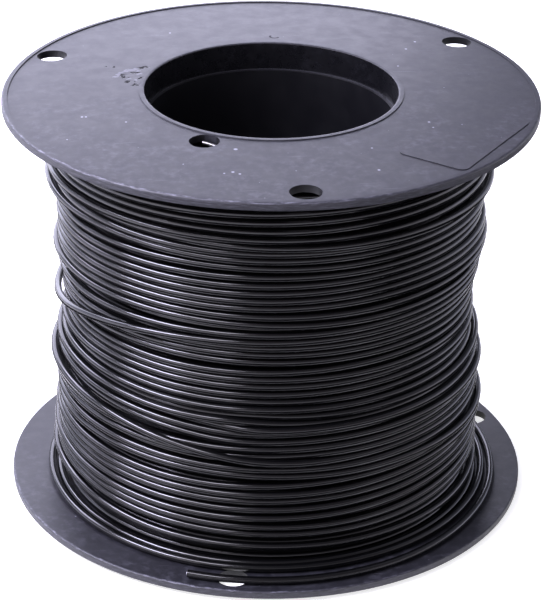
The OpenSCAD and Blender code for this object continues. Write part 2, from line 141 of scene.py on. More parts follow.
# the outer layer of wire, in millimetres, degrees from +X and turns
winding = {
    "wireDiameter": 2.9,
    "sections": 96,             # rings in each turn
    "sides": 12,
    "frontAngle": -90,          # column at which the heights below are given
    "endAngle": -115,           # where the cut end lies
    # height of each turn's middle from the top down, at these directions across the front; most of them
    # were printed by a program that followed the grooves between the turns, the rest are given one by one
    "directions": (-165, -150, -135, -120, -105, -90, -75, -60, -45, -30),
    "turnHeights": [
        (155.4, 155.4, 155.4, 155.4, 155.4, 155.4, 155.4, 155.4, 155.4, 155.4),
        (152.5, 152.5, 152.5, 152.5, 152.5, 152.5, 152.5, 152.5, 152.5, 152.5),
        (147.6, 148.2, 148.8, 149.2, 149.6, 149.8, 149.8, 149.6, 149.2, 148.8),
        (144.6, 145, 145.6, 146, 146.6, 147.3, 147.2, 147, 146.8, 146.4),
        (141.8, 142.4, 142.7, 142.8, 143.2, 144, 144.2, 144.4, 144.2, 143.8),
        (138.8, 139.6, 139.7, 139.6, 139.6, 139.8, 140.8, 141.7, 143.2, 143),
        (137, 138, 137.1, 136.9, 136.7, 136.6, 136.7, 136.8, 135.9, 136.7),
        (135, 136.2, 134.6, 133.7, 134.2, 133.7, 133.4, 133.3, 132.2, 130.9),
        (133, 134.3, 133, 131.9, 131.8, 131.4, 131, 131.4, 130.3, 129.1),
        (131.2, 131.1, 130, 129.3, 129.1, 128.8, 128.3, 128.7, 128.6, 127.2),
        (123.4, 124.5, 124.9, 125.6, 125.5, 125.2, 125, 125.1, 125.3, 125.4),
        (119.7, 120.8, 121.1, 121.3, 121.7, 121.9, 121.9, 121.7, 121.7, 121.9),
        (116.5, 117.8, 118.1, 118, 118.2, 118.6, 118.9, 118.9, 118.6, 118.3),
        (113.7, 115, 115.2, 114.9, 115.1, 115.4, 116.1, 116.1, 115.7, 115),
        (110.6, 112.1, 112.4, 112.1, 112, 112.2, 113, 113.3, 113, 112.2),
        (107.7, 109.2, 109.6, 109.4, 109.2, 109.3, 110.1, 110.5, 110.2, 108.3),
        (105.2, 106.4, 106.6, 106.4, 106.3, 106.1, 106, 106, 105.9, 106.1),
        (102, 103.2, 103.7, 103.6, 103.1, 102.6, 102.5, 102.6, 102.2, 100.9),
        (95.7, 96.7, 98.3, 98.6, 98.4, 98.9, 99.2, 99.4, 98.9, 97.7),
        (95.6, 95.6, 95.6, 95.6, 95.6, 95.6, 96.4, 96.6, 96.8, 95.8),
        (90.7, 92.5, 92.2, 93.6, 93.3, 93.2, 93.2, 93.4, 93.4, 92.3),
        (87.9, 89.8, 90.5, 90.8, 90.5, 90.1, 90.1, 90.2, 90, 88.9),
        (85.3, 87, 87.6, 87.6, 87.3, 86.9, 87.2, 87.2, 87.1, 85.8),
        (82.4, 83.4, 82.3, 81.2, 81.8, 82.8, 84, 84, 83.8, 82.4),
        (79.8, 79.6, 79.2, 79.3, 78.7, 79.6, 79, 78.6, 78.9, 77.8),
        (77.4, 77, 77.3, 77.6, 76.9, 77.7, 77.3, 76.7, 77.3, 76.7),
        (73.8, 73.2, 72.3, 72.5, 73.2, 73.5, 73.8, 74.1, 74.7, 74.8),
        (72, 71.4, 70.2, 69.6, 70, 70.3, 70.3, 70.6, 70.8, 70.2),
        (70, 69.6, 68.3, 67.6, 67.7, 67.2, 67.2, 67.7, 66.8, 67.7),
        (68.2, 67.6, 66.4, 64.6, 64.6, 64.6, 64.9, 65.1, 63.7, 63.9),
        (66.4, 65.7, 64.7, 63, 62.7, 62.6, 62.8, 63.1, 62.1, 61.8),
        (64.2, 63.6, 63, 61.6, 60.8, 60.4, 60.6, 60.3, 60.2, 60),
        (62.2, 61.8, 61.1, 59.8, 58.9, 58.5, 58.7, 58.5, 58.4, 58.2),
        (60.2, 60, 59.4, 58.1, 57.1, 56.6, 56.7, 56.6, 56.4, 56.3),
        (53.4, 53.2, 52.6, 52.3, 52.5, 52.5, 52.6, 53.4, 54, 54.6),
        (49.8, 50.6, 50.2, 49.6, 49.5, 49.5, 49.5, 50, 52.1, 52.6),
        (58.2, 57.9, 56, 52.7, 49, 47, 46.9, 47, 47.6, 47.4),
        (46.4, 45.4, 45.1, 45.1, 44.4, 44.7, 45.6, 45.9, 45.5, 43),
        (40.4, 43.4, 43.4, 42.4, 41.7, 41.7, 42.1, 43.1, 41.5, 39.7),
        (37.2, 36.9, 36.2, 35.9, 36.7, 38.3, 38.8, 38.3, 38.7, 37.8),
        (35.1, 34.2, 34.4, 33, 33.3, 34.1, 34.2, 34.6, 35.4, 36.1),
        (33.1, 31.7, 32.7, 31.3, 31, 31.7, 31.6, 31.8, 33.5, 34.1),
        (29.7, 28.1, 27.9, 27.7, 27.6, 28, 28.1, 28.4, 30.8, 32.4),
        (25.3, 24.4, 24.2, 24, 24.2, 24.4, 24.6, 25.1, 26, 27.4),
        (22.9, 22.7, 21.1, 21.1, 20.4, 20.3, 20.2, 20.3, 21.6, 23),
        (21.1, 20.8, 18.6, 17.5, 17.8, 17.8, 17.6, 17.4, 18.6, 20.2),
        (17.3, 15.1, 12.3, 12.4, 12.4, 12.4, 12.1, 11.6, 11.2, 11.2),
        (10.5, 10, 9.6, 9.4, 9.3, 9.2, 9.0, 8.8, 8.6, 8.6),
    ],
    # outside radius of the winding by height
    "profile": [
        (0, 82.2), (20, 81.8), (38, 81.0), (46, 81.2), (54, 81.0), (62, 79.3), (70, 77.8), (80, 77.4),
        (90, 78.3), (95, 79.6), (101, 80.4), (110, 80.2), (120, 80.2), (128, 80.8), (133, 82), (147, 82),
        (151, 80), (160, 79.4),
    ],
    # turns that stray: height at the front, then angle, rise and stand-off at points along them
    "strays": [
        (143.8, [(-60, 0, 0), (-40, 0, 0.8), (-20, 1, 1), (0, 0, 0)]),
        (139.8, [(-80, 0, 0), (-60, 0, 0.8), (-40, 0, 1.3), (-20, 0, 1.4), (0, 0, 0)]),
        (133.7, [(-60, 0, 0), (-35, 0, 1), (-15, 0, 1.6), (5, 0, 1), (30, 0, 0)]),
        (128.8, [
            (-240, 0, 0), (-210, 2, 0.4), (-190, 2, 1), (-178, 1, 1.4), (-165, 0, 1), (-150, 0, 0.5),
            (-135, 0, 0),
        ]),
        (115.4, [(-70, 0, 0), (-40, 0, 0.5), (-20, 0, 1.2), (0, 0, 1.4), (30, 0, 0)]),
        (112.2, [(-70, 0, 0), (-40, 0, 0.7), (-20, 0, 1.8), (0, 0, 2), (30, 0, 0)]),
        (109.3, [(-60, 0, 0), (-45, 0, 0.8), (-30, 0.5, 1.8), (-15, 1, 2.6), (0, 1, 2.4), (25, 0, 0)]),
        (106.1, [(-60, 0, 0), (-40, 0, 0.6), (-25, 0, 1.8), (-15, 0, 2.6), (0, 0, 2.2), (25, 0, 0)]),
        (102.6, [(-225, 0, 0), (-205, 1, 1), (-192, 2, 2), (-183, 1.5, 2.2), (-172, 0, 1), (-158, 0, 0)]),
        (95.6, [
            (-250, 0, 0), (-225, -6, 0.8), (-205, -13, 2.4), (-192, -15.5, 4.4), (-185, -15.4, 5.6),
            (-177, -13.8, 5.6), (-170, -11.2, 4.8), (-163, -8.2, 3.8), (-157, -5.9, 3.2), (-150, -3.7, 2.8),
            (-142, -1.9, 2.5), (-135, -0.4, 2), (-129, 0.2, 1.5), (-112, 0, 0),
        ]),
        (82.8, [(-80, 0, 0), (-65, 0, 1), (-45, 0, 1), (-30, 0, 0.3), (-10, 0, 0)]),
        (64.6, [(-60, 0, 0), (-45, 0, 1.2), (-30, 0.5, 2.4), (-15, 3, 3), (0, 4, 2), (30, 0, 0)]),
        (62.6, [(-220, 0, 0), (-195, 1, 1.8), (-183, 1, 2.2), (-170, 0, 1.5), (-155, 0, 0)]),
        (52.5, [(-220, 0, 0), (-200, 0, 1.5), (-185, 0, 2.4), (-172, 0, 1.5), (-158, 0, 0)]),
        (47, [
            (-310, 0, 0), (-290, 0, 2.5), (-240, 2, 3), (-205, 2, 3), (-160, 0, 2.8), (-125, 0, 2.8),
            (-112, 0, 2.2), (-100, 0, 1), (-85, 0, 0),
        ]),
        (41.7, [(-75, 0, 0), (-60, 0, 1.4), (-45, 0, 2.2), (-30, 0, 2), (-10, -2, 1.4), (40, 0, 0)]),
        (24.4, [(-230, 0, 0), (-200, 3, 0.8), (-185, 4, 1), (-172, 1.5, 1.2), (-160, 0, 0.8), (-140, 0, 0)]),
        (12.4, [(-215, 0, 0), (-195, 4, 1), (-180, 4, 2), (-170, 2, 2.5), (-160, 0, 2), (-140, 0, 0)]),
    ],
    "noiseHeight": 0.35,        # how far a turn wanders up or down, and outwards
    "noiseRadius": 0.3,
    "noiseInView": 0.3,         # share of the wandering up and down on the measured side
    "viewAngle": -97,
    "seed": 7,
    "layerStep": 0.88,          # depth from this layer's middle to the next one's, in wire diameters
    "underPitch": 3.0,          # spacing of the turns there, which run the other way
    "startDepth": 9,            # how far inside the wire starts, and the turns that it takes to come out
    "startTurns": 0.12,
    # radius of the loose turns on the flange, by turns from the cut end
    "looseRoute": [
        (0, 94.6), (0.07, 94.4), (0.14, 93.2), (0.21, 90.6), (0.29, 88.6), (0.36, 88.0), (0.5, 87.4),
        (0.65, 86.0), (0.78, 84.6), (0.86, 84.6), (0.93, 85.2), (1, 85.8), (1.07, 85.6), (1.2, 85.3),
        (1.35, 84.9), (1.5, 84.0), (1.65, 82.7), (1.8, 81.2), (1.92, 81.5), (2, 82.3), (2.07, 82.1),
        (2.25, 81.6), (2.55, 80.6),
    ],
    "looseEnd": 2.25,           # where the loose turns start to climb
    "climbEnd": 2.75,
    "looseClear": 0.3,          # gaps under the loose turns, and from the other turns to the flanges
    "lowerClear": 0.05,
    "upperClear": 0.1,
    "usualRadius": 80,          # radius at which the upper flange's face is taken
    "neighbours": 7,            # how many turns away a turn still pushes
    "settling": (500, 0.04, 0.9),   # passes, pull back to the measured place, and share of an overlap undone
    "finishing": (60, 0, 0.6),
}


def flangeFace(radius):
    # height of the lower flange's wire side at a radius
    width = spool["flangeRadius"] - spool["boreRadius"]
    dish = spool["flangeDish"] * (radius - spool["boreRadius"]) / width
    return spool["lip"] + dish + spool["flangeWall"]


def smoothStep(x):
    x = np.clip(x, 0, 1)
    return x * x * (3 - 2 * x)


def blur(values, width):
    # rounds off the corners in a run of values, over a width in rings
    reach = int(3 * width)
    weights = np.exp(-0.5 * (np.arange(-reach, reach + 1) / width) ** 2)
    return np.convolve(np.pad(values, reach, mode="edge"), weights / weights.sum(), mode="valid")


def wander(turns, rng, size, slow=0.8, fast=5, waves=40):
    # a smooth irregular line along the wire
    total = np.zeros_like(turns)
    for _ in range(waves):
        pace = rng.uniform(slow, fast)
        total += np.sin(2 * math.pi * (pace * turns + rng.uniform())) / pace ** 0.5
    return size * total / total.std()


def woundRoute(spec):
    # every turn at its measured height, pushed off its neighbours and down on the layer below
    d = spec["wireDiameter"]
    perTurn = spec["sections"]
    rows = np.array(spec["turnHeights"])
    wound = len(rows) - 1
    frontColumn = spec["directions"].index(spec["frontAngle"])
    endShare = (spec["frontAngle"] - spec["endAngle"]) / 360
    total = wound + math.floor(spec["climbEnd"]) + endShare
    count = round(total * perTurn) + 1
    turn = np.linspace(0, total, count)
    angle = spec["frontAngle"] - 360 * turn
    fromEnd = total - turn
    rng = np.random.default_rng(spec["seed"])
    looseTurn, looseRadius = np.array(spec["looseRoute"]).T
    profileHeight, profileRadius = np.array(spec["profile"]).T
    pitch = spec["underPitch"]

    # each row starts to the right of the front and ends to its left; the wire drops to the next one behind
    knots = np.arange(wound + 1)[:, None] + (spec["frontAngle"] - np.array(spec["directions"])) / 360
    order = np.argsort(knots.ravel())
    aim = blur(np.interp(turn, knots.ravel()[order], rows.ravel()[order]), 2.5)
    behind = np.clip(-np.cos(np.radians(angle - spec["viewAngle"])), 0, 1)
    inView = spec["noiseInView"]
    aim += wander(turn, rng, spec["noiseHeight"]) * (inView + (1 - inView) * behind)
    standOff = np.abs(wander(turn, rng, spec["noiseRadius"]))
    for level, points in spec["strays"]:
        near = np.argmin(np.abs(rows[:, frontColumn] - level))
        along, rise, lift = np.array(points).T
        place = spec["frontAngle"] - 360 * (turn - near)
        aim += blur(np.interp(place, along, rise, 0, 0), 2.5)
        standOff += blur(np.interp(place, along, lift, 0, 0), 2.5)

    def innerRadius(z):
        # where the middle of a turn rests on the layer below, whose turns run the other way
        level = ((z + pitch * angle / 360) / pitch + 0.5) % 1 - 0.5
        nested = np.sqrt(d * d - (pitch * level) ** 2)
        return np.interp(z, profileHeight, profileRadius) - d / 2 - spec["layerStep"] * d + nested

    loose = np.interp(fromEnd, looseTurn, looseRadius)
    climb = smoothStep((fromEnd - spec["looseEnd"]) / (spec["climbEnd"] - spec["looseEnd"]))
    free = smoothStep(fromEnd - spec["looseEnd"])
    aim = aim * climb + (flangeFace(loose) + spec["looseClear"] + d / 2) * (1 - climb)
    radius = (innerRadius(aim) + standOff) * free + loose * (1 - free)
    start = smoothStep(turn / spec["startTurns"])
    startRadius = np.interp(aim, profileHeight, profileRadius) - spec["startDepth"]
    aimRadius = radius * start + startRadius * (1 - start)
    radius, z = aimRadius.copy(), aim.copy()
    ceiling = spool["height"] - flangeFace(spec["usualRadius"]) - spec["upperClear"] - d / 2
    fixed = (fromEnd < spec["looseEnd"]) | (turn < spec["startTurns"])

    def settle(pull, step):
        nonlocal radius, z
        radius += pull * (aimRadius - radius)
        z += pull * (aim - z)
        for apart in range(1, spec["neighbours"] + 1):
            gap = apart * perTurn
            dr, dz = radius[gap:] - radius[:-gap], z[gap:] - z[:-gap]
            far = np.hypot(dr, dz) + 1e-9
            push = np.where(far < d, (d - far) / 2 * step, 0)
            dr, dz = dr / far * push, dz / far * push
            radius[gap:] += dr
            radius[:-gap] -= dr
            z[gap:] += dz
            z[:-gap] -= dz
        radius[:] = np.where(fixed, aimRadius, np.maximum(radius, innerRadius(z)))
        lowest = flangeFace(radius) + d / 2 + spec["lowerClear"]
        z[:] = np.where(fixed, aim, np.clip(z, lowest, ceiling))

    passes, pull, step = spec["settling"]
    for i in range(passes):
        settle(pull, step)
        if i % 5 == 4:
            radius, z = blur(radius, 1.2), blur(z, 1.6)
    passes, pull, step = spec["finishing"]
    for i in range(passes):
        settle(pull, step)
        if i % 6 == 5:
            radius, z = blur(radius, 0.8), blur(z, 0.8)
    turnAngle = np.radians(angle)
    return np.column_stack([radius * np.cos(turnAngle), radius * np.sin(turnAngle), z])


def sheathTree():
    # sweeps a round sheath along a line of points and keeps its length and girth as a UV map
    tree = bpy.data.node_groups.new("sheathAlongLine", "GeometryNodeTree")
    for name, kind, way in (
        ("Line", "NodeSocketGeometry", "INPUT"),
        ("Diameter", "NodeSocketFloat", "INPUT"),
        ("Sides", "NodeSocketInt", "INPUT"),
        ("Finish", "NodeSocketMaterial", "INPUT"),
        ("Sheath", "NodeSocketGeometry", "OUTPUT"),
    ):
        tree.interface.new_socket(name=name, in_out=way, socket_type=kind)
    given = addNode(tree, "NodeGroupInput").outputs
    line = addNode(tree, "GeometryNodeMeshToCurve", {"Mesh": given["Line"]})
    upright = addNode(tree, "GeometryNodeSetCurveNormal", {"Curve": line.outputs["Curve"]}, mode="Z_UP")
    half = addNode(tree, "ShaderNodeMath", {0: given["Diameter"], 1: 0.5}, operation="MULTIPLY")
    ring = addNode(tree, "GeometryNodeCurvePrimitiveCircle", {
        "Resolution": given["Sides"], "Radius": half,
    })
    place = addNode(tree, "GeometryNodeSplineParameter").outputs["Length"]
    measured = []
    for name, curve in (("along", upright), ("around", ring)):
        kept = addNode(tree, "GeometryNodeCaptureAttribute", {"Geometry": curve}, domain="POINT")
        kept.capture_items.new("FLOAT", name)
        tree.links.new(place, kept.inputs[name])
        measured.append(kept)
    along, around = measured
    tube = addNode(tree, "GeometryNodeCurveToMesh", {
        "Curve": along.outputs["Geometry"], "Profile Curve": around.outputs["Geometry"], "Fill Caps": True,
    })
    both = addNode(tree, "ShaderNodeCombineXYZ", {"X": along.outputs["along"], "Y": around.outputs["around"]})
    mapped = addNode(
        tree, "GeometryNodeStoreNamedAttribute",
        {"Geometry": tube.outputs["Mesh"], "Name": "along"}, data_type="FLOAT2", domain="CORNER",
    )
    tree.links.new(both.outputs[0], mapped.inputs["Value"])
    smooth = addNode(tree, "GeometryNodeSetShadeSmooth", {"Geometry": mapped.outputs["Geometry"]})
    whole = addNode(tree, "GeometryNodeRealizeInstances", {"Geometry": smooth.outputs["Geometry"]})
    finished = addNode(tree, "GeometryNodeSetMaterial", {
        "Geometry": whole.outputs["Geometry"], "Material": given["Finish"],
    })
    addNode(tree, "NodeGroupOutput", {"Sheath": finished.outputs["Geometry"]})
    return tree


def plainMesh(name, source, tree, values):
    # runs a geometry tree on an object and keeps only the resulting mesh
    modifier = source.modifiers.new(name, "NODES")
    modifier.node_group = tree
    for item in tree.interface.items_tree:
        if item.in_out == "INPUT" and item.name in values:
            modifier[item.identifier] = values[item.name]
    evaluated = source.evaluated_get(bpy.context.evaluated_depsgraph_get())
    mesh = bpy.data.meshes.new_from_object(evaluated)
    mesh.name = name
    bpy.data.objects.remove(source)
    made = bpy.data.objects.new(name, mesh)
    bpy.context.scene.collection.objects.link(made)
    return made


def wireAlong(name, route, diameter, sides, material):
    # a tube on a route in millimetres, and its length in metres
    points = [tuple(p) for p in route * mm]
    mesh = bpy.data.meshes.new(name + "Line")
    mesh.from_pydata(points, [(i, i + 1) for i in range(len(points) - 1)], [])
    line = bpy.data.objects.new(name + "Line", mesh)
    bpy.context.scene.collection.objects.link(line)
    sizes = {"Diameter": diameter * mm, "Sides": sides, "Finish": material}
    made = plainMesh(name, line, sheathAlongLine, sizes)
    return made, float(np.linalg.norm(np.diff(route, axis=0), axis=1).sum() * mm)


sheathAlongLine = sheathTree()

wire = {
    "colour": "#060607",
    "rubLength": 16,            # length and width of a rub mark, in millimetres
    "rubWidth": 1.1,
    "shine": (0.12, 0.21),      # roughness, polished to rubbed
    "handled": (120, 0.05),     # length over which the sheen changes slowly, and by how much
    "relief": 0.2,
}


def wireMaterial(spec):
    # black PVC: a smooth extruded sheath, whose sheen changes a little where it has rubbed on others
    material, tree = newMaterial("blackPvc")
    uv = addNode(tree, "ShaderNodeUVMap", uv_map="along")
    stretch = addNode(tree, "ShaderNodeMapping", {
        "Vector": uv.outputs["UV"], "Scale": (1 / (spec["rubLength"] * mm), 1 / (spec["rubWidth"] * mm), 1),
    })
    rub = addNode(tree, "ShaderNodeTexNoise", {"Vector": stretch, "Scale": 1, "Detail": 4})
    polished, rubbed = spec["shine"]
    tone = addNode(tree, "ShaderNodeMapRange", {
        "Value": rub, "From Min": 0.3, "From Max": 0.75, "To Min": polished, "To Max": rubbed,
    })
    length, change = spec["handled"]
    slow = addNode(tree, "ShaderNodeMapping", {
        "Vector": uv.outputs["UV"], "Scale": (1 / (length * mm), 0, 1),
    })
    handled = addNode(tree, "ShaderNodeTexNoise", {"Vector": slow, "Scale": 1, "Detail": 2})
    shift = addNode(tree, "ShaderNodeMapRange", {
        "Value": handled, "From Min": 0.3, "From Max": 0.7, "To Min": -change, "To Max": change,
    })
    sheen = addNode(tree, "ShaderNodeMath", {0: tone, 1: shift}, operation="ADD")
    bump = addNode(tree, "ShaderNodeBump", {"Height": rub, "Strength": 0.08, "Distance": spec["relief"] * mm})
    shader = addNode(tree, "ShaderNodeBsdfPrincipled", {
        "Base Color": colour(spec["colour"]), "Roughness": sheen, "Normal": bump,
    })
    addNode(tree, "ShaderNodeOutputMaterial", {"Surface": shader})
    return material


flange = {
    "dark": "#1d1d22",
    "pale": "#25252b",
    "bore": "#0c0c0f",              # painted shade on the walls of the bore and holes and on the flange's underside there, which lie in shade
    "dustAndHighlights": "#9a9aa8",
    "paintedShade": "#060608",              # painted shade in the pits torn into the face beside the bore and in the gate ring's shaded half; the shreds round the pits are pale
    "shred": "#c4c4d4",
    # soft patterns: size in millimetres, detail, and the values between which they set in
    "patterns": {
        "haze": (6, 6, 0.3, 0.7),
        "smudges": (3.2, 7, 0.4, 0.76),
        "patches": (15, 3, 0.42, 0.6),
        "streaks": (0.45, 5, 0.42, 0.72),
        "warp": (3, 3, 0, 1),
    },
    "bend": 6,                      # how far the warp bends the torn marks
    "holes": (50.2, 97),            # the holes lie between these radii
    "dustyFrom": (20, -40),         # the front is dustier than the back: from this y to that one
    "speckSpacing": 13,
    "speckSize": 0.4,
    "speckShare": 0.3,
    "scratchCell": (100, 2),        # each scratch lies in one cell of this length and width
    "scratchSize": 0.06,            # and takes up this share of it
    "scratchShare": 0.2,
    "scratchTurns": (0.5, 2.1),     # directions of the scratches, in radians
    "rim": (98.9, 99.5),            # radii over which the rim becomes scuffed
    "worn": (-0.6, -0.8, 0),        # direction of the lit side: there the rim's sloped edges are scuffed and carry a painted highlight, and the gate ring's half is painted shade
    "gateRing": (1.7, 0.4),         # radius and half width of the ring round the mould's gate, whose half towards the lit side is painted shade
    "lipWidth": (2.2, 2.5),         # the lip ends between these widths
    "chamfer": 0.9,                 # width of the worn edge of the bore
    "shine": (0.44, 0.52),
}

# marks on the outer face: x, y and radius in millimetres
upperMarks = {
    "spots": [
        (-71.5, -18.3, 0.5), (-70.1, -18.5, 0.45), (-19.8, -54.4, 0.75), (57.4, 37.9, 0.5), (-31.7, 64, 0.45),
        (27.8, -75.7, 0.55), (52.8, -35.9, 0.5), (-56.1, -25.5, 0.4), (53.3, -41.3, 0.4), (51, 19.2, 0.4),
        (-22.9, -72.8, 0.6), (-20.7, -74.6, 0.5), (-26, -73.5, 0.4), (28.3, -57.5, 0.4), (62.4, 46, 0.5),
    ],
    "chips": [
        (-50.6, 24.9, 1.5), (-48.4, 25.8, 1.2), (-52.1, 24.1, 1.4), (-53.8, 22.6, 1.3), (-55.4, 20.8, 1.2),
        (-56.9, 18.9, 1), (-48, 23.4, 1.1), (-47.4, 20, 1), (-51.7, 15.6, 0.8), (-49.4, 14.1, 0.8),
    ],
    # pits in the torn spot, painted dark as the shade in them
    "shadedPits": [
        (-44.6, 26.4, 1), (-46.2, 26.4, 1.1), (-48.4, 21.6, 1.1), (-50, 20.9, 1), (-53.8, 20, 0.9),
        (-53.7, 18, 0.9), (-53, 12.8, 1), (-50.3, 9.2, 0.8), (-48.8, 9, 0.8), (-47.4, 16, 1),
        (-50.4, 12, 0.6), (-51.6, 17.4, 0.6), (-56.6, 29.6, 0.6), (-59.5, 30.4, 0.5),
    ],
    "gate": (8.3, 54.9),
}
lowerMarks = {"spots": [], "chips": [], "shadedPits": [], "gate": None}
# the lower flange is the same moulding in darker colours: painted shade from the winding over it
shadedLowerFlange = {**flange, "dark": "#15151a", "pale": "#1c1c22"}


def flangeMaterial(name, spec, marks):
    # moulded polystyrene: dark lilac grey with a satin sheen, dulled by dust, specks and scuffs, with painted
    # shade in its holes, pits and gate ring and painted highlights on the bore's ledge and the rim's lit side
    material, tree = newMaterial(name)
    place = addNode(tree, "ShaderNodeTexCoord").outputs["Object"]
    parts = addNode(tree, "ShaderNodeSeparateXYZ", {"Vector": place})
    flat = addNode(tree, "ShaderNodeMapping", {"Vector": place, "Scale": (1, 1, 0)})
    radius = addNode(tree, "ShaderNodeVectorMath", {0: flat}, operation="LENGTH").outputs["Value"]
    outward = addNode(tree, "ShaderNodeVectorMath", {0: flat}, operation="NORMALIZE")
    faceNormal = addNode(tree, "ShaderNodeNewGeometry").outputs["Normal"]
    facing = addNode(tree, "ShaderNodeSeparateXYZ", {"Vector": faceNormal})
    level = addNode(tree, "ShaderNodeMapRange", {
        "Value": facing.outputs["Z"], "From Min": 0.5, "From Max": 0.9,
    })
    unscuffed, scuffed = spec["rim"]
    rim = addNode(tree, "ShaderNodeMapRange", {
        "Value": radius, "From Min": unscuffed * mm, "From Max": scuffed * mm,
    })

    # the streaks on the rim run round it: a ninth as dense along it as across it
    turn = addNode(tree, "ShaderNodeMath", {
        0: parts.outputs["Y"], 1: parts.outputs["X"],
    }, operation="ARCTAN2")
    around = addNode(tree, "ShaderNodeMath", {
        0: turn, 1: spool["flangeRadius"] * mm / 9,
    }, operation="MULTIPLY")
    band = addNode(tree, "ShaderNodeCombineXYZ", {"X": around, "Y": parts.outputs["Z"]})

    soft = {}
    for kind, (size, detail, low, high) in spec["patterns"].items():
        cloud = addNode(tree, "ShaderNodeTexNoise", {
            "Vector": band if kind == "streaks" else place,
            "Scale": 1 / (size * mm), "Detail": detail, "Roughness": 0.65,
        })
        soft[kind] = cloud.outputs["Color"] if kind == "warp" else addNode(tree, "ShaderNodeMapRange", {
            "Value": cloud, "From Min": low, "From Max": high,
        }, interpolation_type="SMOOTHSTEP")
    centred = addNode(tree, "ShaderNodeVectorMath", {
        0: soft["warp"], 1: (0.5, 0.5, 0.5),
    }, operation="SUBTRACT")
    bent = addNode(tree, "ShaderNodeVectorMath", {
        0: centred, 1: (spec["bend"] * mm, spec["bend"] * mm, 0), 2: flat,
    }, operation="MULTIPLY_ADD")

    def largest(points, vector):
        # the strongest of a set of round marks at every place
        total = None
        for x, y, size in points:
            away = addNode(tree, "ShaderNodeVectorMath", {
                0: vector, 1: (x * mm, y * mm, 0),
            }, operation="DISTANCE")
            spot = addNode(tree, "ShaderNodeMapRange", {
                "Value": away.outputs["Value"], "From Min": 1.2 * size * mm, "From Max": 0.6 * size * mm,
            })
            if total:
                spot = addNode(tree, "ShaderNodeMath", {0: total, 1: spot}, operation="MAXIMUM")
            total = spot
        return total

    def scattered(vector, scale, size, share):
        # one mark in a share of the cells of a pattern, each of its own size
        cells = addNode(tree, "ShaderNodeTexVoronoi", {
            "Vector": vector, "Scale": scale,
        }, voronoi_dimensions="2D")
        chance = addNode(tree, "ShaderNodeSeparateColor", {"Color": cells.outputs["Color"]})
        girth = addNode(tree, "ShaderNodeMapRange", {
            "Value": chance.outputs["Red"], "From Min": 1 - share, "From Max": 1, "To Max": size,
        })
        near = addNode(tree, "ShaderNodeMath", {0: girth, 1: cells.outputs["Distance"]}, operation="SUBTRACT")
        return addNode(tree, "ShaderNodeMapRange", {"Value": near, "From Max": size * 0.4})

    # where each kind of wear lies
    back, front = spec["dustyFrom"]
    dusty = addNode(tree, "ShaderNodeMapRange", {
        "Value": parts.outputs["Y"], "From Min": back * mm, "From Max": front * mm, "To Min": 0.35,
    })
    edge = addNode(tree, "ShaderNodeMapRange", {
        "Value": facing.outputs["Z"], "From Min": 0.15, "From Max": 0.6,
    })
    towards = addNode(tree, "ShaderNodeVectorMath", {0: outward, 1: spec["worn"]}, operation="DOT_PRODUCT")
    handled = addNode(tree, "ShaderNodeMapRange", {
        "Value": towards.outputs["Value"], "From Min": 0.3, "From Max": 0.9,
    })
    # painted highlight: a faint pale line round the bore at the ledge's depth, where the ledge catches the
    # light
    ledgeHighlight = addNode(tree, "ShaderNodeMath", {
        0: parts.outputs["Z"], 1: (spool["height"] - spool["ledgeDepth"]) * mm, 2: 0.4 * mm,
    }, operation="COMPARE")
    boreWall = addNode(tree, "ShaderNodeMath", {
        0: radius, 1: (spool["boreRadius"] + 0.02) * mm,
    }, operation="LESS_THAN")
    # painted shade: the bore's walls, and the steep walls and undersides between the holes' radii, take the
    # dark shaded colour
    steep = addNode(tree, "ShaderNodeMapRange", {
        "Value": facing.outputs["Z"], "From Min": 0.6, "From Max": 0.2,
    })
    nearest, farthest = spec["holes"]
    between = addNode(tree, "ShaderNodeMath", {
        0: radius, 1: (nearest + farthest) / 2 * mm, 2: (farthest - nearest) / 2 * mm,
    }, operation="COMPARE")
    paintedShadeWalls = addNode(tree, "ShaderNodeMath", {0: steep, 1: between, 2: boreWall}, operation="MULTIPLY_ADD")
    specks = scattered(
        place, 1 / (spec["speckSpacing"] * mm), spec["speckSize"] / spec["speckSpacing"], spec["speckShare"])

    # every kind of wear, and the painted highlights on the bore's ledge and the rim's lit side, is a product
    # of a strength and patterns, and the strongest one shows
    wearAndHighlights = [
        (0.07, ledgeHighlight, boreWall),
        (0.02, soft["smudges"], soft["patches"], boreWall),
        (0.12, soft["smudges"], soft["patches"], dusty, level),
        (0.05, soft["smudges"], dusty, level),
        (0.7, specks, dusty, level),
        (0.12, soft["streaks"], rim),
        # on the lit side the rim's sloped edges take streaks that are partly scuffs and partly painted
        # highlight, and an even pale band that is painted highlight
        (0.55, soft["streaks"], rim, edge, handled),
        (0.06, rim, edge, handled),
    ]
    length, width = spec["scratchCell"]
    for tilt in spec["scratchTurns"]:
        run = addNode(tree, "ShaderNodeMapping", {
            "Vector": place, "Rotation": (0, 0, tilt), "Scale": (1 / (length * mm), 1 / (width * mm), 1),
        })
        scratches = scattered(run, 1, spec["scratchSize"], spec["scratchShare"])
        wearAndHighlights.append((0.2, scratches, level))
    if marks["spots"]:
        wearAndHighlights.append((0.8, largest(marks["spots"], flat), level))
    worn = 0
    for strength, *patterns in wearAndHighlights:
        for pattern in patterns:
            strength = addNode(tree, "ShaderNodeMath", {0: strength, 1: pattern}, operation="MULTIPLY")
        worn = addNode(tree, "ShaderNodeMath", {0: worn, 1: strength}, operation="MAXIMUM")

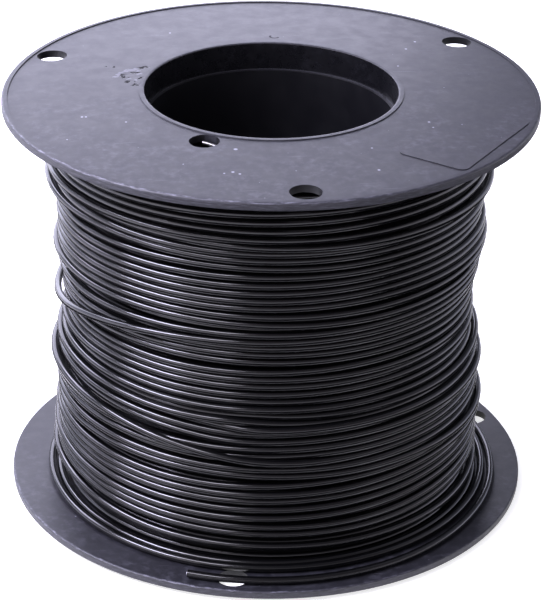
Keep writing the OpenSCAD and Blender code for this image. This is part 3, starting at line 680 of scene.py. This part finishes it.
    # colours over the darkest one, and how much each one covers
    layers = [(soft["haze"], "pale"), (paintedShadeWalls, "bore"), (worn, "dustAndHighlights")]
    clear, dull = spec["shine"]
    satin = addNode(tree, "ShaderNodeMapRange", {"Value": soft["haze"], "To Min": clear, "To Max": dull})
    shine = addNode(tree, "ShaderNodeMath", {0: boreWall, 1: -0.2, 2: satin}, operation="MULTIPLY_ADD")
    height = addNode(tree, "ShaderNodeMath", {0: worn, 1: 0.4}, operation="MULTIPLY")
    if marks["chips"]:
        chips = largest(marks["chips"], bent)
        pale = addNode(tree, "ShaderNodeMath", {0: chips, 1: 0.13}, operation="MULTIPLY")
        layers.append((pale, "shred"))
    # painted shade: the pits of the torn spot and the gate ring's shaded half are painted dark
    dark = None
    if marks["shadedPits"]:
        dark = largest(marks["shadedPits"], bent)
    if marks["gate"]:
        # the ring round the mould's gate, painted dark only on its half towards the lit side: painted shade
        # of its relief
        x, y = marks["gate"]
        girth, thickness = spec["gateRing"]
        offset = addNode(tree, "ShaderNodeVectorMath", {
            0: flat, 1: (x * mm, y * mm, 0),
        }, operation="SUBTRACT")
        away = addNode(tree, "ShaderNodeVectorMath", {0: offset}, operation="LENGTH")
        ring = addNode(tree, "ShaderNodeMath", {
            0: away.outputs["Value"], 1: girth * mm, 2: thickness * mm,
        }, operation="COMPARE")
        side = addNode(tree, "ShaderNodeVectorMath", {0: offset, 1: spec["worn"]}, operation="DOT_PRODUCT")
        shadedHalf = addNode(tree, "ShaderNodeMapRange", {
            "Value": side.outputs["Value"], "From Min": -thickness * mm, "From Max": thickness * mm,
            "To Max": 0.8,
        })
        gate = addNode(tree, "ShaderNodeMath", {0: ring, 1: shadedHalf}, operation="MULTIPLY")
        dark = addNode(tree, "ShaderNodeMath", {0: dark or 0, 1: gate}, operation="MAXIMUM")
    if dark:
        outside = addNode(tree, "ShaderNodeMath", {0: dark, 1: level}, operation="MULTIPLY")
        layers.append((outside, "paintedShade"))
        shine = addNode(tree, "ShaderNodeMath", {0: shine, 1: outside}, operation="MAXIMUM")
        height = addNode(tree, "ShaderNodeMath", {0: outside, 1: -4, 2: height}, operation="MULTIPLY_ADD")
    finish = colour(spec["dark"])
    for share, code in layers:
        finish = addNode(tree, "ShaderNodeMix", {
            "Factor": share, 6: finish, 7: colour(spec[code]),
        }, data_type="RGBA").outputs[2]

    # light meets the lip of the bore as one soft edge: flat outside, turned inwards at the bore
    bore = spool["boreRadius"]
    flatEnd, lipEnd = spec["lipWidth"]
    lip = addNode(tree, "ShaderNodeMapRange", {
        "Value": radius, "From Min": (bore + 0.02) * mm, "From Max": (bore + 0.06) * mm,
    })
    outer = addNode(tree, "ShaderNodeMapRange", {
        "Value": radius, "From Min": (bore + lipEnd) * mm, "From Max": (bore + flatEnd) * mm,
    })
    upper = addNode(tree, "ShaderNodeMath", {
        0: parts.outputs["Z"], 1: (spool["height"] - 0.4) * mm,
    }, operation="GREATER_THAN")
    for other in (outer, upper):
        lip = addNode(tree, "ShaderNodeMath", {0: lip, 1: other}, operation="MULTIPLY")
    slope = addNode(tree, "ShaderNodeMapRange", {
        "Value": radius, "From Min": (bore + 0.3) * mm, "From Max": (bore + spec["chamfer"]) * mm,
        "To Min": -0.3, "To Max": 0,
    })
    inwards = addNode(tree, "ShaderNodeVectorMath", {0: outward, "Scale": slope}, operation="SCALE")
    turned = addNode(tree, "ShaderNodeVectorMath", {0: inwards, 1: (0, 0, 1)}, operation="ADD")
    blended = addNode(tree, "ShaderNodeMix", {"Factor": lip, 4: faceNormal, 5: turned}, data_type="VECTOR")
    normal = addNode(tree, "ShaderNodeVectorMath", {0: blended.outputs[1]}, operation="NORMALIZE")
    bump = addNode(tree, "ShaderNodeBump", {
        "Height": height, "Strength": 0.5, "Distance": 0.3 * mm, "Normal": normal,
    })
    shader = addNode(tree, "ShaderNodeBsdfPrincipled", {
        "Base Color": finish, "Roughness": shine, "Normal": bump,
    })
    addNode(tree, "ShaderNodeOutputMaterial", {"Surface": shader})
    return material


barrel = {
    # darker than the flanges' own colour: painted shade
    "colour": "#0f0f12",
    "haze": 8.333,              # size of its dull clouds
    "shine": (0.3, 0.4),
}


def barrelMaterial(spec):
    # the same polystyrene inside the bore, painted darker as the shade in the bore, with a faint cloudy sheen
    material, tree = newMaterial("barrelPolystyreneShaded")
    place = addNode(tree, "ShaderNodeTexCoord").outputs["Object"]
    haze = addNode(tree, "ShaderNodeTexNoise", {
        "Vector": place, "Scale": 1 / (spec["haze"] * mm), "Detail": 5,
    })
    clear, dull = spec["shine"]
    shine = addNode(tree, "ShaderNodeMapRange", {
        "Value": haze, "From Min": 0.3, "From Max": 0.7, "To Min": clear, "To Max": dull,
    })
    shader = addNode(tree, "ShaderNodeBsdfPrincipled", {
        "Base Color": colour(spec["colour"]), "Roughness": shine,
    })
    addNode(tree, "ShaderNodeOutputMaterial", {"Surface": shader})
    return material


conductor = {
    "cut": "#d4d4dc",           # bright at the fresh cut; the darker tint below is painted shade on the stripped end down in the start hole
    "stripped": "#8f8d8c",
    "shine": 0.38,
    "grain": 0.25,
    "relief": 0.1,
}


def tinnedMaterial(name, spec, tint):
    # tinned copper: a pale grey metal with a soft shine, as the cut end of a drawn wire has
    material, tree = newMaterial(name)
    place = addNode(tree, "ShaderNodeTexCoord").outputs["Object"]
    grain = addNode(tree, "ShaderNodeTexNoise", {
        "Vector": place, "Scale": 1 / (spec["grain"] * mm), "Detail": 3,
    })
    bump = addNode(tree, "ShaderNodeBump", {
        "Height": grain, "Strength": 0.2, "Distance": spec["relief"] * mm,
    })
    shader = addNode(tree, "ShaderNodeBsdfPrincipled", {
        "Base Color": colour(tint), "Metallic": 1.0, "Roughness": spec["shine"], "Normal": bump,
    })
    addNode(tree, "ShaderNodeOutputMaterial", {"Surface": shader})
    return material


blackPvc = wireMaterial(wire)
finishes = {
    "upper_flange": flangeMaterial("tornPolystyrene", flange, upperMarks),
    "lower_flange": flangeMaterial("greyPolystyreneShaded", shadedLowerFlange, lowerMarks),
    "barrel": barrelMaterial(barrel),
    "copper_conductor": tinnedMaterial("tinnedCopper", conductor, conductor["cut"]),
}
for name, finish in finishes.items():
    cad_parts[name].data.materials.clear()
    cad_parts[name].data.materials.append(finish)
print("materials made")


def addWire(name, node, route, sides):
    # a stretch of the wire in its sheath, which stands for a CAD node
    made, length = wireAlong(name, route, winding["wireDiameter"], sides, blackPvc)
    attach(made, "root")
    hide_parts(node)
    print(name, "laid:", round(length, 3), "m")


addWire("wireOuterLayer", "outer_windings", woundRoute(winding), winding["sides"])

tail = {
    "radius": 51.25,            # middle of the wire beside the barrel
    "height": 156.62,           # middle of the wire under the upper flange
    "bend": 5.8,                # radius of the bend up to there
    "foot": 2.9,                # length that rises straight
    "arc": 40,                  # length of the part under the flange, in degrees
    "endAngle": -125.8,
    "steps": 24,
    "bareSteps": 7,             # how many of the last steps are stripped down to the conductor
    "bareDiameter": 1.38,
    "lift": (0.65, 1.3),        # how far it lies above the sheath's middle, and how far its end bends up
}


def tailRoute(spec):
    # it rises beside the barrel, bends over and ends in the start hole
    bendTurn = math.degrees(spec["bend"] / spec["radius"])
    corner = spec["endAngle"] + spec["arc"]
    points = [(corner + bendTurn, spec["height"] - spec["bend"] - spec["foot"])]
    for i in range(spec["steps"] + 1):
        lean = math.pi / 2 * i / spec["steps"]
        drop = spec["bend"] * (1 - math.sin(lean))
        points.append((corner + bendTurn * math.cos(lean), spec["height"] - drop))
    for i in range(1, spec["steps"] + 1):
        points.append((corner - spec["arc"] * i / spec["steps"], spec["height"]))
    turn, z = np.array(points).T
    turn = np.radians(turn)
    return np.column_stack([spec["radius"] * np.cos(turn), spec["radius"] * np.sin(turn), z])


startRoute = tailRoute(tail)
addWire("wireStart", "wire_start_tail", startRoute[:-tail["bareSteps"]], winding["sides"])

# the conductor of that end, stripped for a test of the wound wire, begins inside the sheath
bareRoute = startRoute[-tail["bareSteps"] - 2:]
raised, bentUp = tail["lift"]
bareRoute[:, 2] += raised + bentUp * smoothStep(np.linspace(0, 1, len(bareRoute)))
# the stripped end takes the darker tint, painted shade for its place down in the start hole
startConductor, bareLength = wireAlong(
    "startConductor", bareRoute, tail["bareDiameter"], winding["sides"],
    tinnedMaterial("tinnedCopperShaded", conductor, conductor["stripped"]),
)
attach(startConductor, "root")
print("start stripped:", round(bareLength, 4), "m")

innerWire = {
    "sections": 72,
    "sides": 8,
    "clear": 0.3,
    "coreRadius": 49.8,         # inside radius of the wound wire, on the barrel
    "coreBelow": 0.6,           # how far the core's surface lies below the turns' middle
    "coreMiddle": 65,           # radius at which its ends clear the flanges
    "coreRings": 40,
    "coreSteps": 96,
}


def underRadius(z):
    # middle of the layer of turns under the outer one
    profileHeight, profileRadius = np.array(winding["profile"]).T
    return np.interp(z, profileHeight, profileRadius) - (0.5 + winding["layerStep"]) * winding["wireDiameter"]


def underRoute(spec):
    # the layer below: evenly laid turns of the opposite hand, which the outer turns rest on
    pitch = winding["underPitch"]
    low = flangeFace(underRadius(5)) + spec["clear"] + winding["wireDiameter"] / 2
    turns = (spool["height"] - 2 * low) / pitch
    turn = np.linspace(0, turns, int(turns * spec["sections"]))
    angle = np.radians(-360 * low / pitch - 360 * turn)
    z = low + pitch * turn
    radius = underRadius(z)
    return np.column_stack([radius * np.cos(angle), radius * np.sin(angle), z])


def latheMesh(name, outline, steps, material):
    # a closed ring turned from an outline of radius and height, whose points run anticlockwise
    radius, z = np.array(outline).T
    count = len(outline)
    turn = 2 * math.pi * np.arange(steps) / steps
    points = np.stack([
        np.outer(np.cos(turn), radius), np.outer(np.sin(turn), radius), np.tile(z, (steps, 1)),
    ], axis=-1).reshape(-1, 3) * mm
    faces = []
    for i in range(steps):
        for k in range(count):
            here, far = i * count, (i + 1) % steps * count
            after = (k + 1) % count
            faces.append((here + k, far + k, far + after, here + after))
    return meshObject(name, points, faces, material)


def coreOutline(spec):
    # the deeper layers as one solid, in the shade under the turns
    low = flangeFace(spec["coreMiddle"]) + spec["clear"]
    high = spool["height"] - low
    outline = [(spec["coreRadius"], high), (spec["coreRadius"], low)]
    for z in np.linspace(low, high, spec["coreRings"]):
        outline.append((underRadius(z) - spec["coreBelow"], z))
    return outline


under, underLength = wireAlong(
    "wireUnderLayer", underRoute(innerWire), winding["wireDiameter"], innerWire["sides"], blackPvc)
core = latheMesh("wireCore", coreOutline(innerWire), innerWire["coreSteps"], blackPvc)
for made in (under, core):
    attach(made, "root")
    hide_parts("inner_windings")
print("inner layers made:", round(underLength, 2), "m")


def areaLight(name, place, aim, size, power, tint):
    # a softbox, which mirrors show and the camera doesn't
    data = bpy.data.lights.new(name, "AREA")
    data.shape = "RECTANGLE"
    data.size, data.size_y = size
    data.energy = power
    data.color = colour(tint)[:3]
    made = bpy.data.objects.new(name, data)
    made.location = place
    made.visible_camera = False
    made.rotation_euler = (Vector(aim) - Vector(place)).to_track_quat("-Z", "Y").to_euler()
    bpy.context.scene.collection.objects.link(made)


room = {
    "frontTint": "#f0ebfb",
    "backTint": "#e2e4ff",
    # brightness of the walls near the floor, by direction in degrees from +X
    "walls": [
        (-180, 4.2), (-150, 4.6), (-125, 2.8), (-100, 1.5), (-50, 1.1), (-20, 1.8), (10, 3.3), (40, 1.7),
        (75, 0.8), (115, 1.1), (140, 2.8), (155, 3.9), (180, 4.4),
    ],
    # share of that by the sine of the height above the floor
    "rise": [(0, 0.5), (0.12, 1), (0.23, 1), (0.34, 0.28), (0.8, 0.17), (1, 0.15)],
    "brightest": 5,
}


def litRoom(spec):
    # white walls that fade upwards and are brighter on the window's side
    world = bpy.data.worlds.new("room")
    scene.world = world
    world.use_nodes = True
    tree = world.node_tree
    tree.nodes.clear()
    way = addNode(tree, "ShaderNodeTexCoord").outputs["Generated"]
    turn = addNode(tree, "ShaderNodeTexGradient", {"Vector": way}, gradient_type="RADIAL")
    stops = [((angle + 180) / 360, bright / spec["brightest"]) for angle, bright in spec["walls"]]
    walls = addNode(tree, "ShaderNodeValToRGB", {"Fac": turn.outputs["Fac"]}, stops=stops)
    parts = addNode(tree, "ShaderNodeSeparateXYZ", {"Vector": way})
    rise = addNode(tree, "ShaderNodeValToRGB", {"Fac": parts.outputs["Z"]}, stops=spec["rise"])
    both = addNode(tree, "ShaderNodeMath", {0: walls, 1: rise}, operation="MULTIPLY")
    full = addNode(tree, "ShaderNodeMath", {0: both, 1: spec["brightest"]}, operation="MULTIPLY")
    behind = addNode(tree, "ShaderNodeMapRange", {
        "Value": parts.outputs["Y"], "From Min": -0.3, "From Max": 0.5,
    })
    tint = addNode(tree, "ShaderNodeMix", {
        "Factor": behind, 6: colour(spec["frontTint"]), 7: colour(spec["backTint"]),
    }, data_type="RGBA")
    glow = addNode(tree, "ShaderNodeBackground", {"Color": tint.outputs[2], "Strength": full})
    addNode(tree, "ShaderNodeOutputWorld", {"Surface": glow})


paper = {
    "colour": (0.8, 0.8, 0.8, 1),
    "glow": 0.7,                # added where it is seen, to make it white
    "reach": 12,                # metres
}


def whiteFloor(spec):
    # white paper, which stays white where it is seen directly, mirrored or through something clear
    material, tree = newMaterial("whitePaper")
    path = addNode(tree, "ShaderNodeLightPath")
    seen = path.outputs["Is Camera Ray"]
    for other in ("Is Glossy Ray", "Is Transmission Ray"):
        either = addNode(tree, "ShaderNodeMath", {0: seen, 1: path.outputs[other]}, operation="MAXIMUM")
        seen = either.outputs[0]
    matt = addNode(tree, "ShaderNodeBsdfDiffuse", {"Color": spec["colour"]})
    strength = addNode(tree, "ShaderNodeMath", {0: seen, 1: spec["glow"]}, operation="MULTIPLY")
    glow = addNode(tree, "ShaderNodeEmission", {"Color": (1, 1, 1, 1), "Strength": strength})
    both = addNode(tree, "ShaderNodeAddShader", {0: matt, 1: glow})
    addNode(tree, "ShaderNodeOutputMaterial", {"Surface": both})
    far = spec["reach"]
    corners = [(-far, -far, 0), (far, -far, 0), (far, far, 0), (-far, far, 0)]
    meshObject("floor", corners, [(0, 1, 2, 3)], material, smooth=False)


# black cards on the floor, a painted shadow that stands for the spool's shade on the floor in front: in
# metres, as the camera looks at them: sideways and away from it
shadowCards = {
    "colour": (0.01, 0.01, 0.01, 1),
    "near": -0.112,
    "far": 0.3,
    "left": -0.3,
    "right": 0.5,
    "edge": 0.112,              # how far the side cards stay from the middle
    "spread": 0.095,            # and how much farther for each metre away from the camera
    "lift": 0.0004,
}


def paintedShadowCards(spec):
    # a painted shadow on the floor, which keeps the undersides of the wire dark; only mirrors show it
    material, tree = newMaterial("paintedFloorShadow")
    matt = addNode(tree, "ShaderNodeBsdfDiffuse", {"Color": spec["colour"]})
    addNode(tree, "ShaderNodeOutputMaterial", {"Surface": matt})
    turn = math.radians(camera["heading"])
    near, far, left, right = spec["near"], spec["far"], spec["left"], spec["right"]
    nearEdge = spec["edge"] + spec["spread"] * near
    farEdge = spec["edge"] + spec["spread"] * far
    outlines = {
        "shadowCardLeft": [(-nearEdge, near), (-farEdge, far), (left, far), (left, near)],
        "shadowCardRight": [(right, near), (right, far), (farEdge, far), (nearEdge, near)],
        "shadowCardFront": [(left, -right), (right, -right), (right, near), (left, near)],
    }
    for name, outline in outlines.items():
        corners = []
        for sideways, away in outline:
            x = sideways * math.cos(turn) + away * math.sin(turn)
            y = -sideways * math.sin(turn) + away * math.cos(turn)
            corners.append((x, y, spec["lift"]))
        card = meshObject(name, corners, [(0, 1, 2, 3)], material, smooth=False)
        card.visible_camera = card.visible_diffuse = card.visible_shadow = False


litRoom(room)
whiteFloor(paper)
paintedShadowCards(shadowCards)

# softboxes: place, aim and size in metres, watts and tint
middle = (0, 0, 0.08)
areaLight("softboxLeft", (-1.1, -0.14, 1.18), middle, (0.8, 0.4), 38, "#e6e3ff")
areaLight("softboxSide", (-0.78, 0.85, 1), middle, (0.8, 0.4), 11, "#e6e3ff")
areaLight("softboxFront", (-0.75, -0.6, 1.3), middle, (0.8, 0.4), 14, "#f0ecff")
areaLight("softboxBack", (-0.1, 0.44, 0.275), (0.005, 0, 0.17), (0.56, 0.36), 2.9, "#e4e3fc")
print("room lit")
